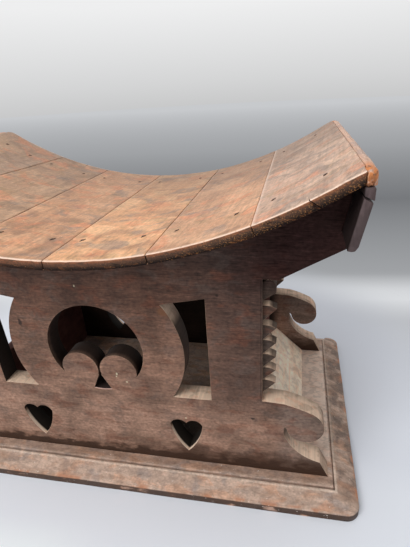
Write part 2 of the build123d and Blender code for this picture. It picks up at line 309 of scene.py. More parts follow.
def panel_finish():
    """Dark dry plank with its grain from end to end, paler towards the foot and darker upwards, partly its
    own tone and partly painted shade under the seat.
    """
    wood = Finish("panel_wood", paint(120, 91, 76), specular=0.18)
    height, length = wood.along("Z"), wood.along("X")
    side, depth = wood.off_middle("X"), wood.off_middle("Y")
    # partly the wood's own tone and partly painted shade: paler at the foot, darker upwards into the shade
    # under the seat
    wood.lay(wood.band(height, 0.16, 0.05), paint(146, 115, 98))
    wood.lay(wood.band(height, 0.15, 0.23), paint(88, 63, 52))
    wood.lay(wood.band(height, 0.22, 0.30), paint(60, 40, 34))
    right_post = wood.times(wood.band(length, 0.08, 0.14), wood.band(height, 0.07, 0.13))
    wood.lay(wood.times(right_post, 0.75), paint(70, 54, 48))
    scroll = wood.times(wood.band(side, 0.172, 0.190), wood.band(height, 0.13, 0.11))
    wood.lay(wood.times(scroll, 0.6), paint(106, 93, 85))
    # painted shade on the recessed faces of the teeth
    above_foot = wood.band(height, waist_foot_z - 0.001, waist_foot_z + 0.001)
    teeth = wood.times(wood.band(side, waist_x, waist_x + 0.0005), above_foot)
    wood.lay(wood.times(teeth, 0.6), paint(64, 56, 48))
    cloud = wood.grain((0.034, 0.03, 0.028), seed=3, detail=8, warp=0.5)
    wood.tone(cloud, (0.48, 0.62), 1.32, 0.8)
    wood.tone(cloud, (0.50, 0.36), 0.66, 0.8)
    grey = wood.grain((0.020, 0.03, 0.014), seed=15, detail=7, warp=0.6)
    wood.tint(grey, (0.52, 0.64), paint(92, 80, 74), 0.34)
    russet = wood.grain((0.024, 0.03, 0.012), seed=17, detail=7, warp=0.6)
    wood.tint(russet, (0.52, 0.66), paint(112, 66, 48), 0.38)
    # painted shade: the arm under the seat's overhang, near black and with little gloss
    arm_shade = wood.times(wood.band(side, 0.11, 0.18), wood.band(height, 0.215, 0.255))
    wood.lay(wood.times(arm_shade, 0.90), paint(50, 34, 33))
    figure = wood.grain((0.10, 0.02, 0.004), detail=6, warp=0.5)
    wood.tone(figure, (0.5, 0.34), 0.74, 0.6)
    wood.tone(figure, (0.5, 0.66), 1.24, 0.6)
    upper = wood.add("MapRange", {"Value": height, "From Min": 0.05, "From Max": 0.22, "To Min": 0.35})
    fibre = wood.grain((0.012, 0.004, 0.0011), seed=5, detail=4)
    wood.deepen(wood.times(wood.band(fibre, 0.50, 0.68), upper), 0.62)
    thread = wood.grain((0.009, 0.004, 0.0010), seed=7, detail=4)
    wood.deepen(wood.times(wood.band(thread, 0.52, 0.70), upper), 1.50)
    mottle = wood.grain((0.0034, 0.002, 0.0026), seed=9, detail=5)
    wood.tone(mottle, (0.5, 0.34), 0.72, 0.8)
    wood.tone(mottle, (0.5, 0.66), 1.28, 0.8)
    stain = wood.grain((0.016, 0.02, 0.009), seed=11, detail=8, warp=0.4)
    foot = wood.calc("ADD", wood.times(stain, 0.034), height)
    wood.tint(foot, (0.058, 0.044), paint(86, 62, 49), 0.55)
    wood.tint(foot, (0.050, 0.043), paint(54, 39, 31), 0.85)
    rightward = wood.band(length, 0.03, 0.07)
    wood.lay(wood.times(rightward, wood.band(foot, 0.068, 0.052), 0.7), paint(64, 46, 37))
    # painted shade: the panel's back faces, between the panels, near black
    back = wood.band(depth, panel_back_y + 0.004, panel_back_y + 0.0015)
    inner_shade = wood.times(back, wood.band(side, 0.175, 0.160))
    wood.lay(wood.times(inner_shade, 0.94), paint(26, 18, 15))
    for (x, z), (width, tall), colour in panel_marks:
        shape = {"Vector": wood.where, "Location": (x, -panel_face_y, z), "Scale": (width, 0.02, tall)}
        place = wood.add("Mapping", shape, vector_type="TEXTURE")
        reach = wood.add("VectorMath", {0: place}, "Value", operation="LENGTH")
        ragged = wood.calc("ADD", reach, wood.times(mottle, 0.8))
        wood.tint(ragged, (1.9, 1.0), colour, 0.8)
    rubbed = wood.times(wood.stored("worn"), wood.band(cloud, 0.35, 0.55))
    in_reach = wood.times(wood.band(height, 0.26, 0.20), wood.rest(inner_shade))
    wood.lay(wood.times(rubbed, in_reach, 0.55), paint(190, 158, 132))
    from_line = wood.calc("ABSOLUTE", wood.calc("SUBTRACT", side, scribed_x))
    below_head = wood.band(height, waist_head_z + 0.002, waist_head_z)
    waist = wood.times(wood.band(height, waist_foot_z - 0.002, waist_foot_z), below_head)
    wood.deepen(wood.times(wood.band(from_line, 0.0010, 0.0004), waist, 0.8), 0.55)
    wood.relief(figure, 0.15)
    wood.relief(wood.band(fibre, 0.50, 0.68), -0.12)
    wood.relief(thread, 0.10)
    wood.relief(mottle, 0.12)
    wood.relief(cloud, 0.5)
    gloss = wood.add("MapRange", {"Value": arm_shade, "To Min": 0.18, "To Max": 0.03})
    wood.links.new(gloss, wood.shader.inputs["Specular IOR Level"])
    return wood.done(0.55, cloud, 0.25)


def sawn_finish():
    """Edges left by the saw: cream where light and dust fall on them, dark inside the holes."""
    wood = Finish("sawn_panel_edge", paint(120, 94, 77), specular=0.2)
    side, depth, height = wood.off_middle("X"), wood.off_middle("Y"), wood.along("Z")
    slope, outward = wood.facing("Z"), wood.facing_out()
    up = wood.band(slope, 0.15, 0.7)
    # painted shade on the faces turned down; the faces turned up cream, partly dust and partly painted light
    wood.tint(slope, (0.1, -0.5), paint(58, 42, 34), 0.85)
    wood.lay(wood.times(up, 0.95), paint(228, 198, 172))
    ring = wood.times(wood.band(side, 0.062, 0.056), wood.band(height, 0.108, 0.111))
    wood.lay(wood.times(ring, 0.95), paint(66, 47, 39))
    stroke = wood.grain((0.0022, 0.05, 0.0022), detail=5)
    wood.tone(stroke, (0.5, 0.68), 1.25, 0.6)
    wood.tone(stroke, (0.5, 0.32), 0.75, 0.6)
    grime = wood.grain((0.010, 0.008, 0.010), seed=3, detail=6)
    wood.tint(grime, (0.5, 0.66), paint(104, 84, 71), 0.40)
    warm = wood.grain((0.008, 0.006, 0.008), seed=5, detail=5)
    warmed = wood.times(wood.band(warm, 0.52, 0.66), up, wood.rest(ring))
    wood.lay(wood.times(warmed, 0.4), paint(224, 168, 138))
    # painted shade: the ring's walls near black deeper into the hole
    within = wood.band(depth, panel_face_y - 0.0005, panel_face_y - 0.0065)
    wood.lay(wood.times(ring, within, 0.8), paint(26, 18, 15))
    slot = wood.times(wood.band(side, 0.030, 0.026), wood.band(height, 0.125, 0.120))
    within = wood.band(depth, panel_face_y - 0.0006, panel_face_y - 0.0016)
    wood.lay(wood.times(slot, up), paint(232, 190, 176))
    # painted shade: the slot near black deeper in
    wood.lay(wood.times(slot, within, 0.97), paint(12, 9, 8))
    # inside a heart: cream on the walls turned up near the face, darker deeper in, and painted shade on the
    # walls turned down
    heart = wood.times(wood.band(side, 0.135, 0.130), wood.band(height, 0.100, 0.096))
    within = wood.band(depth, panel_face_y - 0.0024, panel_face_y - 0.0044)
    wood.lay(wood.times(heart, wood.band(slope, 0.05, 0.4), 0.9), paint(238, 212, 188))
    wood.lay(wood.times(heart, within, 0.98), paint(20, 14, 12))
    wood.lay(wood.times(heart, wood.band(slope, 0.1, -0.1), 0.9), paint(20, 14, 12))
    window = wood.times(wood.band(side, 0.083, 0.086), wood.band(height, 0.100, 0.112))
    # painted shade: near black on the window walls that face the middle
    wood.lay(wood.times(window, wood.band(outward, -0.02, -0.06), 0.95), paint(20, 15, 14))
    shaded = wood.times(window, wood.band(outward, 0.02, 0.06), wood.band(height, 0.10, 0.18))
    wood.lay(wood.times(shaded, 0.88), paint(52, 42, 37))
    # painted shade: darker towards the back face, between the panels
    wood.tone(depth, (panel_back_y + 0.009, panel_back_y + 0.001), 0.6, 0.6)
    wood.relief(stroke, 0.25)
    wood.relief(grime, 0.3)
    return wood.done(0.75)


def base_finish():
    """Weathered board, rubbed to orange in places along its lower arris and dark down its edge."""
    wood = Finish("base_wood", paint(188, 161, 143), specular=0.3)
    figure = wood.grain((0.08, 0.010, 0.02), detail=6, warp=0.6)
    wood.tone(figure, (0.45, 0.68), 1.22, 0.7)
    wood.tone(figure, (0.5, 0.32), 0.75, 0.7)
    cloud = wood.grain((0.020, 0.016, 0.02), seed=3, detail=8, warp=0.5)
    wood.tint(cloud, (0.50, 0.62), paint(146, 136, 132), 0.50)
    blush = wood.grain((0.024, 0.012, 0.02), seed=5, detail=7, warp=0.5)
    wood.tint(blush, (0.52, 0.64), paint(208, 154, 120), 0.45)
    tan = wood.grain((0.030, 0.014, 0.02), seed=6, detail=7, warp=0.5)
    wood.tint(tan, (0.52, 0.66), paint(156, 120, 96), 0.4)
    length, to_rear, height = wood.along("X"), wood.along("Y"), wood.along("Z")
    side, depth = wood.off_middle("X"), wood.off_middle("Y")

    def past(edge_x, edge_y):
        """How far a place lies outside a rectangle about the middle."""
        past_end, past_side = wood.calc("SUBTRACT", side, edge_x), wood.calc("SUBTRACT", depth, edge_y)
        return wood.calc("MAXIMUM", past_end, past_side)

    # painted shade on the right border, which faces away from the light, mottled
    right_border = wood.times(wood.band(length, 0.241, 0.247), wood.band(to_rear, -0.150, -0.118))
    wood.lay(wood.times(right_border, wood.band(cloud, 0.34, 0.56), 0.75), paint(116, 97, 86))
    # painted shade on the strip of field in front of the panels, under the seat
    foot = wood.times(wood.band(depth, field_edge_y, 0.126), wood.band(depth, 0.118, panel_face_y))
    wood.lay(wood.times(foot, 0.4), paint(150, 114, 94))
    low = wood.calc("ADD", height, wood.times(cloud, -0.012))
    rust = wood.grain((0.022, 0.02, 0.01), seed=15, detail=6)
    rusty = wood.times(wood.band(low, 0.0058, 0.0030), wood.band(rust, 0.50, 0.60))
    wood.lay(wood.times(rusty, 0.30), paint(206, 146, 112))
    beyond = past(field_edge_x, field_edge_y)
    # painted highlight on the rounded ridge beyond the quirk
    ridge_highlight = wood.times(wood.band(beyond, 0.0013, 0.0018), wood.band(beyond, 0.0048, 0.0026))
    wood.lay(wood.times(ridge_highlight, 0.70), paint(240, 216, 196))
    # painted shade: a dark quirk line at the field's edge
    quirk = wood.times(wood.band(beyond, -0.0003, 0.0001), wood.band(beyond, 0.0018, 0.0014))
    wood.lay(wood.times(quirk, 0.5), paint(112, 90, 78))
    blotch = wood.grain((0.0075, 0.0050, 0.006), seed=19, detail=6, warp=0.5)
    wood.tone(blotch, (0.5, 0.36), 0.78, 0.8)
    wood.tone(blotch, (0.5, 0.64), 1.18, 0.8)
    speck = wood.grain((0.0022, 0.0017, 0.002), seed=17, detail=4)
    wood.tone(speck, (0.5, 0.66), 0.84, 0.8)
    wood.tone(speck, (0.5, 0.34), 1.14, 0.8)
    pores = wood.grain((0.006, 0.0010, 0.002), seed=7, detail=3)
    wood.tone(pores, (0.54, 0.68), 0.78, 0.7)
    # painted light: the field at the ends, between the panels, painted paler against the shade that falls
    # there
    lit_end_field = wood.times(wood.band(side, 0.190, 0.200), wood.band(depth, 0.102, 0.098))
    inside = wood.times(lit_end_field, wood.band(side, field_edge_x - 0.0005, field_edge_x - 0.0020))
    wood.lay(wood.times(inside, 0.85), paint(255, 228, 208))
    wood.lay(wood.times(inside, wood.band(blush, 0.48, 0.62), 0.5), paint(226, 188, 164))
    wood.deepen(wood.times(inside, wood.band(blotch, 0.54, 0.40)), 0.80)
    # painted shade on the board between the panels, behind the front panel
    front_shade = wood.times(wood.band(to_rear, 0.03, -0.04), wood.band(depth, 0.101, 0.099))
    wood.lay(wood.times(front_shade, wood.band(side, 0.150, 0.145), 0.85), paint(32, 24, 20))
    arris = wood.band(past(board_edge_x, board_edge_y), -0.0035, -0.0010)
    rubbed = wood.times(arris, wood.band(height, board_edge_z - 0.0015, board_edge_z - 0.0007))
    wood.lay(wood.times(rubbed, wood.band(rust, 0.50, 0.62), 0.7), paint(184, 122, 88))
    edge = wood.band(height, board_edge_z + 0.0001, board_edge_z - 0.0013)
    wood.lay(wood.times(edge, wood.band(rust, 0.74, 0.60), 0.92), paint(60, 44, 36))
    fleck = wood.grain((0.0025, 0.002, 0.002), seed=9, detail=2)
    wood.tint(fleck, (0.70, 0.75), paint(232, 220, 208), 0.8)
    wood.relief(figure, 0.25)
    wood.relief(wood.band(pores, 0.54, 0.68), -0.12)
    wood.relief(cloud, 0.5)
    wood.relief(speck, -0.14)
    return wood.done(0.6, cloud, 0.2)


def inner_finish(name, ground, pale, deep):
    """Plain wood between the panels, with its grain from front to rear."""
    wood = Finish(name, ground, specular=0.2)
    figure = wood.grain((0.006, 0.10, 0.02), detail=6, warp=0.5)
    wood.tint(figure, (0.45, 0.7), pale, 0.5)
    wood.tint(figure, (0.5, 0.3), deep, 0.45)
    cloud = wood.grain((0.025, 0.03, 0.025), seed=3, detail=7)
    wood.tint(cloud, (0.48, 0.66), deep, 0.5)
    mottle = wood.grain((0.008, 0.010, 0.008), seed=9, detail=6, warp=0.5)
    wood.tone(mottle, (0.52, 0.38), 0.76, 0.8)
    wood.tone(mottle, (0.52, 0.64), 1.16, 0.8)
    speck = wood.grain((0.0016, 0.003, 0.002), seed=5, detail=4)
    wood.tint(speck, (0.54, 0.68), deep, 0.35)
    wood.relief(figure, 0.25)
    wood.relief(cloud, 0.5)
    return wood.done(0.7)


def end_finish():
    """Grey-brown rails at the ends of the seat, dark on the side out of the light."""
    wood = Finish("end_rail_wood", paint(88, 74, 74), specular=0.25)
    figure = wood.grain((0.003, 0.06, 0.02), detail=5, warp=0.4)
    wood.tint(figure, (0.45, 0.7), paint(108, 92, 90), 0.4)
    wood.tint(figure, (0.5, 0.3), paint(62, 50, 48), 0.5)
    cloud = wood.grain((0.010, 0.014, 0.012), seed=3, detail=6)
    wood.tint(cloud, (0.48, 0.64), paint(66, 55, 54), 0.6)
    wood.tint(wood.along("Z"), (0.305, 0.285), paint(54, 42, 40), 0.35)
    wood.tint(wood.facing_out(), (-0.02, -0.10), paint(30, 20, 18), 0.9)
    wood.relief(figure, 0.3)
    wood.relief(cloud, 0.5)
    return wood.done(0.65)


def worn_end_finish():
    """The strips that close the seat, rubbed through to orange wood at their corners."""
    wood = Finish("worn_strip_wood", paint(212, 172, 148), specular=0.3)
    figure = wood.grain((0.0022, 0.05, 0.01), detail=5, warp=0.4)
    wood.tint(figure, (0.45, 0.7), paint(222, 180, 150), 0.5)
    wood.tint(figure, (0.5, 0.3), paint(140, 106, 86), 0.5)
    grey = wood.grain((0.012, 0.022, 0.02), seed=7, detail=6)
    wood.tint(grey, (0.5, 0.62), paint(168, 148, 140), 0.5)
    worn = wood.grain((0.005, 0.008, 0.005), seed=3, detail=6)
    depth = wood.off_middle("Y")
    corner = wood.band(depth, 0.128, 0.152)
    wood.lay(wood.times(corner, wood.band(worn, 0.34, 0.5)), paint(212, 132, 78))
    wood.lay(wood.times(corner, wood.band(worn, 0.58, 0.66), 0.8), paint(104, 70, 48))
    rubbed = wood.times(wood.stored("worn"), wood.band(worn, 0.3, 0.6))
    wood.lay(wood.times(rubbed, 0.6), paint(240, 192, 158))
    chewed = wood.times(wood.band(depth, 0.150, 0.156), wood.band(wood.along("Z"), 0.338, 0.330))
    wood.lay(wood.times(chewed, wood.band(worn, 0.40, 0.54)), paint(112, 72, 50))
    wood.relief(figure, 0.3)
    wood.relief(worn, 0.8)
    return wood.done(0.55)


def iron_finish():
    """Nail heads, dull and rusted."""
    iron = Finish("nail_iron", paint(74, 62, 54), specular=0.4)
    rust = iron.grain((0.0008, 0.0008, 0.0008), detail=4)
    iron.lay(iron.band(rust, 0.45, 0.6), paint(104, 70, 50))
    iron.relief(rust, 0.15)
    iron.shader.inputs["Metallic"].default_value = 0.3
    return iron.done(0.65, rust, 0.3)


def pit_finish():
    """Stained wood in the pits around the nails and in the cracks."""
    wood = Finish("nail_pit", paint(84, 64, 52), specular=0.15)
    stain = wood.grain((0.002, 0.002, 0.002), detail=4)
    wood.lay(wood.band(stain, 0.4, 0.65), paint(52, 39, 33))
    wood.relief(stain, 0.3)
    return wood.done(0.8)


# each slat's ground, pale and deep colour, from the left
seat_tones = (
    (paint(182, 150, 126), paint(206, 170, 138), paint(142, 114, 96)),
    (paint(184, 146, 116), paint(212, 170, 136), paint(142, 112, 90)),
    (paint(198, 148, 112), paint(224, 172, 132), paint(150, 112, 88)),
    (paint(228, 170, 124), paint(252, 198, 148), paint(170, 124, 94)),
    (paint(204, 154, 118), paint(230, 178, 138), paint(158, 118, 92)),
    (paint(202, 166, 142), paint(226, 190, 164), paint(156, 132, 116)),
)
slat_end = slat_end_finish()
# painted shade: dark on the undersides of the slats and of the base board
shaded_underside = underside_finish()
panel_wood = panel_finish()
sawn_edge = sawn_finish()
base_wood = base_finish()
# painted light: the ramp is far paler than its wood, against the shade between the panels
ramp_wood = inner_finish("ramp_wood", paint(255, 232, 204), paint(255, 246, 230), paint(240, 188, 152))
riser_wood = inner_finish("riser_wood", paint(92, 58, 52), paint(110, 74, 64), paint(62, 40, 36))
end_wood = end_finish()
worn_end_wood = worn_end_finish()
nail_iron = iron_finish()
nail_pit = pit_finish()


# ---- shaping ----


def cut_across(bm, axis, spacing):
    """Cuts a piece into even steps along an axis, so that it can be bent and worn."""
    places = [vert.co[axis] for vert in bm.verts]
    low, high = min(places), max(places)
    steps = round((high - low) / spacing)
    normal = Vector([float(axis == number) for number in range(3)])
    for step in range(1, steps):
        place = normal * (low + (high - low) * step / steps)
        whole = bm.verts[:] + bm.edges[:] + bm.faces[:]
        bmesh.ops.bisect_plane(bm, geom=whole, plane_co=place, plane_no=normal)


def ease(bm, edges, width, segments=2):
    """Takes the sharpness off some edges."""
    bmesh.ops.bevel(
        bm,
        geom=edges,
        offset=width,
        affect="EDGES",
        segments=segments,
        profile=0.5,
        material=-1,
        clamp_overlap=True,
    )


def sharp_edges(bm, least=40):
    return [edge for edge in bm.edges if edge.is_manifold and edge.calc_face_angle(0) > radians(least)]


def roughen(bm, depth, size, seed):
    """Moves the surface a little, as hand work and wear leave it."""
    start = Vector((seed * 7.3, seed * 3.1, seed * 5.7))
    for vert in bm.verts:
        vert.co += noise.noise_vector(vert.co / size + start) * depth


def blunt(vert):
    """Rounds the seat's outer corners, seen from above, and lets their tops down where they are worn."""
    x, y, z = vert.co
    past = Vector((abs(x) - strip_outer_x + corner_round, abs(y) - seat_depth / 2 + corner_round))
    if min(past) > 0:
        kept = past * (max(past) / past.length - 1)
        x += kept.x if x > 0 else -kept.x
        y += kept.y if y > 0 else -kept.y
    to_corner = Vector((strip_outer_x - abs(x), seat_depth / 2 - abs(y))).length
    near = max(0.0, 1 - to_corner / corner_wear) ** 2
    top = max(0.0, z - base_height - strip_bottom) / (arc_top_z(seat_end) - strip_bottom)
    vert.co = (x, y, z - corner_sag * min(1.0, top) * near)


def carve(bm, tool):
    """Cuts a tool out of a slat. The cut faces take the tool's finish."""
    shapes = []
    for name, source in (("piece", bm), ("tool", tool)):
        mesh = bpy.data.meshes.new(name)
        source.to_mesh(mesh)
        source.free()
        for number in range(slat_finishes):
            mesh.materials.append(bpy.data.materials.new(f"{name}_{number}"))
        shapes.append(bpy.data.objects.new(name, mesh))
        bpy.context.collection.objects.link(shapes[-1])
    piece, cutter = shapes
    cut = piece.modifiers.new("cut", "BOOLEAN")
    cut.operation, cut.object, cut.solver = "DIFFERENCE", cutter, "EXACT"
    carved = bmesh.new()
    carved.from_object(piece, bpy.context.evaluated_depsgraph_get())
    for shape in shapes:
        materials = list(shape.data.materials)
        mesh = shape.data
        bpy.data.objects.remove(shape)
        bpy.data.meshes.remove(mesh)
        for material in materials:
            bpy.data.materials.remove(material)
    return carved


def settle(bm, node, finishes, smooth=35):
    """Turns a shaped piece into an object that stands for a node of the frame."""
    bmesh.ops.scale(bm, vec=(MM, MM, MM), verts=bm.verts)
    mesh = bpy.data.meshes.new(f"{node}_wood")
    bm.to_mesh(mesh)
    bm.free()
    for finish in finishes:
        mesh.materials.append(finish)
    mesh.shade_smooth()
    mesh.set_sharp_from_angle(angle=radians(smooth))
    piece = bpy.data.objects.new(f"{node}_wood", mesh)
    bpy.context.collection.objects.link(piece)
    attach(piece, "root")
    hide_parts(node)
    return piece


def copy_of(node):
    """A node's shape in millimetres, with its flat faces made whole."""
    bm = bmesh.new()
    bm.from_mesh(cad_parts[node].data)
    bmesh.ops.scale(bm, vec=(1 / MM, 1 / MM, 1 / MM), verts=bm.verts)
    bmesh.ops.remove_doubles(bm, verts=bm.verts, dist=0.01)
    bmesh.ops.dissolve_limit(bm, angle_limit=radians(0.5), verts=bm.verts, edges=bm.edges)
    return bm


# ---- seat slats: shaped flat, then bent over the arcs of the panels ----

# half length of the pit around each nail, in the front row and in the rear row
front_pits = (3.0, 3.4, 3.2, 3.4, 3.8, 3.6, 3.8, 3.4, 3.0, 3.4, 3.2, 3.0)
rear_pits = (2.6, 2.8, 2.4, 2.6, 2.2, 2.4, 2.8, 2.4, 2.2, 2.4, 2.2, 2.6)
pit_half_width, pit_depth, pit_turn = 1.25, 0.9, 67
# cracks from the ends of the slats: place, length, half width and lean in degrees
cracks = (
    (198.0, -seat_depth / 2, 6.0, 0.34, -26.0),
    (-118.0, seat_depth / 2, 14.0, 0.7, 0.0),
)


def pits_and_cracks(left, right):
    """What is cut out of a slat: a narrow pit around each nail, turned as the wood split, and cracks."""
    tool = bmesh.new()
    for y, lengths in ((-seat_nail_y, front_pits), (seat_nail_y, rear_pits)):
        for x, length in zip(seat_nail_xs, lengths):
            if left < x < right:
                place = Matrix.Translation((x, y, 0)) @ Matrix.Rotation(radians(pit_turn), 4, "Z")
                shape = place @ Matrix.Diagonal((length, pit_half_width, pit_depth, 1.0))
                bmesh.ops.create_uvsphere(tool, u_segments=16, v_segments=8, radius=1.0, matrix=shape)
    for x, y, length, width, lean in cracks:
        if left < x < right:
            place = Matrix.Translation((x, y, 0)) @ Matrix.Rotation(radians(lean), 4, "Y")
            shape = place @ Matrix.Diagonal((width, length, 3 * slat_thickness, 1.0))
            wedge = {"segments": 4, "radius1": 1.0, "radius2": 1.0, "depth": 1.0, "matrix": shape}
            bmesh.ops.create_cone(tool, cap_ends=True, **wedge)
    for face in tool.faces:
        face.material_index = CUT
    return tool


def flat_slat(number, left, right):
    """A slat before it is bent, with its top at nothing and its joints slanted."""
    bm = bmesh.new()
    bmesh.ops.create_cube(bm, size=1.0)
    bmesh.ops.scale(bm, vec=(right - left, seat_depth, slat_thickness), verts=bm.verts)
    bmesh.ops.translate(bm, vec=((left + right) / 2, 0, -slat_thickness / 2), verts=bm.verts)
    ease(bm, bm.edges[:], slat_arris)
    cut_across(bm, 0, slat_step)
    cut_across(bm, 1, slat_step)
    for vert in bm.verts:
        across = (vert.co.x - left) / (right - left)
        skew = joint_skews[number - 1] * (1 - across) + joint_skews[number] * across
        vert.co.x += skew * vert.co.y / (seat_depth / 2)
    for face in bm.faces:
        along, across, up = face.normal
        if abs(across) > 0.6 or (abs(across) > 0 and abs(up) < 0.3):
            face.material_index = END_GRAIN
        elif up < -0.6 or abs(along) > 0.95:
            face.material_index = HIDDEN
    return bm


def wear_slat(bm, number, left):
    """Knocks the ends of a slat about, and notes for its finish where it is worn."""
    worn, low = bm.verts.layers.float.new("worn"), bm.verts.layers.float.new("low")
    for vert in bm.verts:
        x, y, z = vert.co
        to_end, to_left = seat_depth / 2 - abs(y), x - left
        top = max(0.0, 1.0 + z)
        end_wear = min(1.0, max(0.0, 1.9 - to_end / (1.1 if x < 0 else 0.85)))
        side_wear = max(0.0, 1.0 - to_left / 3.2) * (1.0 if number == 6 else 0.25)
        vert[worn] = max(end_wear, side_wear) * top
        vert[low] = -z / slat_thickness
        lip = noise.noise(Vector((x / 6, number * 3.0, y / 200)))
        vert.co.y -= (1 if y > 0 else -1) * max(0.0, lip) * max(0.0, 1 - to_end / lip_run)
        vert.co.z -= end_sag * max(0.0, 1 - to_end / end_sag_run) ** 2 * top
    roughen(bm, 0.22, 24.0, number)


def bend_slat(bm):
    """Lays a flat slat over the arc. Its sides point at the arc's middle, and the seat's ends are plumb."""
    for vert in bm.verts:
        x, y, z = vert.co
        radius = arc_top_radius - z
        plumb = min(1.0, max(0.0, (abs(x) - seat_end + plumb_run) / plumb_run))
        x *= 1 + (radius / arc_top_radius - 1) * (1 - plumb)
        vert.co = (x, y, base_height + arc_centre_z - sqrt(radius**2 - x**2))
        blunt(vert)


for number, (left, right) in enumerate(zip(slat_joints, slat_joints[1:]), 1):
    left, right = left + joint_gaps[number - 1], right - joint_gaps[number]
    slat = carve(flat_slat(number, left, right), pits_and_cracks(left, right))
    wear_slat(slat, number, left)
    bend_slat(slat)
    finishes = [seat_finish(number, *seat_tones[number - 1]), slat_end, shaded_underside, nail_pit]
    settle(slat, f"seat_slat_{number}", finishes)


# ---- side panels: fretwork, its arrises eased and its outline a little uneven ----

for place in ("front", "rear"):
    panel = copy_of(f"side_panel_{place}")
    arrises = []
    for face_y in (panel_inner_y, panel_inner_y + tooth_recess, panel_outer_y - tooth_recess, panel_outer_y):
        for edge in sharp_edges(panel):
            if all(abs(abs(vert.co.y) - face_y) < 0.05 for vert in edge.verts):
                arrises.append(edge)
    ease(panel, arrises, 0.6)
    worn = panel.faces.layers.float.new("worn")
    for face in panel.faces:
        slope = abs(face.normal.y)
        face[worn] = float(0.15 < slope < 0.97)
        face.material_index = int(slope < 0.6)
    cut_across(panel, 0, 6.0)
    cut_across(panel, 2, 6.0)
    roughen(panel, 0.3, 30.0, 2.0 + len(place))
    settle(panel, f"side_panel_{place}", [panel_wood, sawn_edge])


# ---- base board: its field's rim eased, and its underside kept on the floor ----

base = copy_of("base_board")
field_rim = [
    edge
    for edge in sharp_edges(base, 30)
    if all(abs(vert.co.z - base_height) < 0.05 for vert in edge.verts) and edge.calc_length() > 20
]
ease(base, field_rim, 0.6)
cut_across(base, 0, 6.0)
cut_across(base, 1, 6.0)
for face in base.faces:
    face.material_index = int(face.normal.z < -0.6)
roughen(base, 0.3, 35.0, 9.0)
for vert in base.verts:
    vert.co.z = max(0.0, vert.co.z)
settle(base, "base_board", [base_wood, shaded_underside])


# ---- planks that run from front to rear ----


def plank(outline, side, depth):
    """A straight plank, from its outline in X and Z, heights being above the base board."""
    bm = bmesh.new()
    end = bm.faces.new([bm.verts.new((side * x, -depth / 2, base_height + z)) for x, z in outline])
    run = bmesh.ops.extrude_face_region(bm, geom=[end])
    moved = [item for item in run["geom"] if isinstance(item, bmesh.types.BMVert)]
    bmesh.ops.translate(bm, vec=(0, depth, 0), verts=moved)
    bmesh.ops.recalc_face_normals(bm, faces=bm.faces)
    return bm


rise = (apron_head - apron_foot).normalized()
apron_out = Vector((rise.y, -rise.x)) * apron_thickness
apron_outer_foot = apron_foot + apron_out
apron_outer_head = apron_outer_foot + rise * ((apron_head.y - apron_outer_foot.y) / rise.y)
ramp_head_x = riser_x + riser_thickness
ramp_fall = ramp_head_z / (ramp_foot_x - ramp_head_x)
ramp_depth = ramp_thickness * sqrt(1 + ramp_fall**2)

strip_top = arc_top_z(seat_end)
strip_outline = (
    (seat_end + 0.3, strip_bottom),
    (strip_outer_x, strip_bottom),
    (strip_outer_x, strip_top - 6.0),
    (strip_outer_x - 0.6, strip_top - 3.0),
    (strip_outer_x - 2.2, strip_top - 1.0),
    (strip_outer_x - 4.5, strip_top - 0.1),
    (seat_end + 1.4, strip_top - 0.3),
    (seat_end + 0.3, strip_top - 1.2),
)
batten_outline = (
    (batten_inner_x, batten_bottom + 1.6),
    (batten_outer_x, batten_bottom - 1.6),
    (batten_outer_x, strip_bottom),
    (batten_inner_x, strip_bottom),
)
apron_outline = (
    apron_foot,
    apron_foot + (apron_outer_foot - apron_foot) * 0.45,
    apron_outer_foot + rise * 0.8 - apron_out * 0.2,
    apron_outer_foot + rise * 4.5,
    apron_outer_head - rise * 2.8,
    apron_head + rise * 0.2,
)
ramp_outline = (
    (ramp_foot_x, 0.1),
    (ramp_head_x, ramp_head_z),
    (ramp_head_x, ramp_head_z - ramp_depth),
    (ramp_foot_x - ramp_depth / ramp_fall, 0.1),
)
riser_outline = ((riser_x, 0.1), (ramp_head_x, 0.1), (ramp_head_x, riser_head_z), (riser_x, riser_head_z))
# outline, depth, width of the arrises, slot and finish
planks = {
    "end_strip": (strip_outline, seat_depth, 0.5, "worn_end_wood", worn_end_wood),
    "end_batten": (batten_outline, seat_depth - 0.6, 0.8, "end_wood", end_wood),
    "end_apron": (apron_outline, seat_depth - 0.6, 0.8, "end_wood", end_wood),
    "ramp": (ramp_outline, panel_gap - 0.6, 0.8, "inner_wood", ramp_wood),
    "riser": (riser_outline, panel_gap - 0.6, 0.8, "inner_wood", riser_wood),
}


def fray(bm, side):
    """Rounds and roughens the ends of a strip, which have lost their corners."""
    middle_x, middle_z = side * (seat_end + strip_outer_x) / 2, base_height + strip_bottom + 5.5
    for vert in bm.verts:
        to_end = seat_depth / 2 - abs(vert.co.y)
        kept = 1 - 0.10 * max(0.0, 1 - to_end / 6) ** 2
        vert.co.x = middle_x + (vert.co.x - middle_x) * kept
        vert.co.z = middle_z + (vert.co.z - middle_z) * kept
        chewed = 0.9 * max(0.0, 1 - to_end / 16)
        vert.co += noise.noise_vector(vert.co / 3.5 + Vector((side, 0, 0))) * chewed


for name, side in SIDES.items():
    for kind, (outline, depth, arris, slot, finish) in planks.items():
        board = plank(outline, side, depth)
        worn = board.faces.layers.float.new("worn")
        ease(board, sharp_edges(board), arris)
        for face in board.faces:
            face[worn] = 0.0 if face.calc_area() > 40 else 1.0
        if kind == "end_strip":
            for axis in (1, 2, 0):
                cut_across(board, axis, 2.0)
            fray(board, side)
            for vert in board.verts:
                blunt(vert)
        else:
            cut_across(board, 1, 4.0)
            if kind in ("ramp", "riser"):
                cut_across(board, 2, 5.0)
        roughen(board, 0.3, 14.0, 4.0 + side + len(kind))
        settle(board, f"{kind}_{name}", [finish])


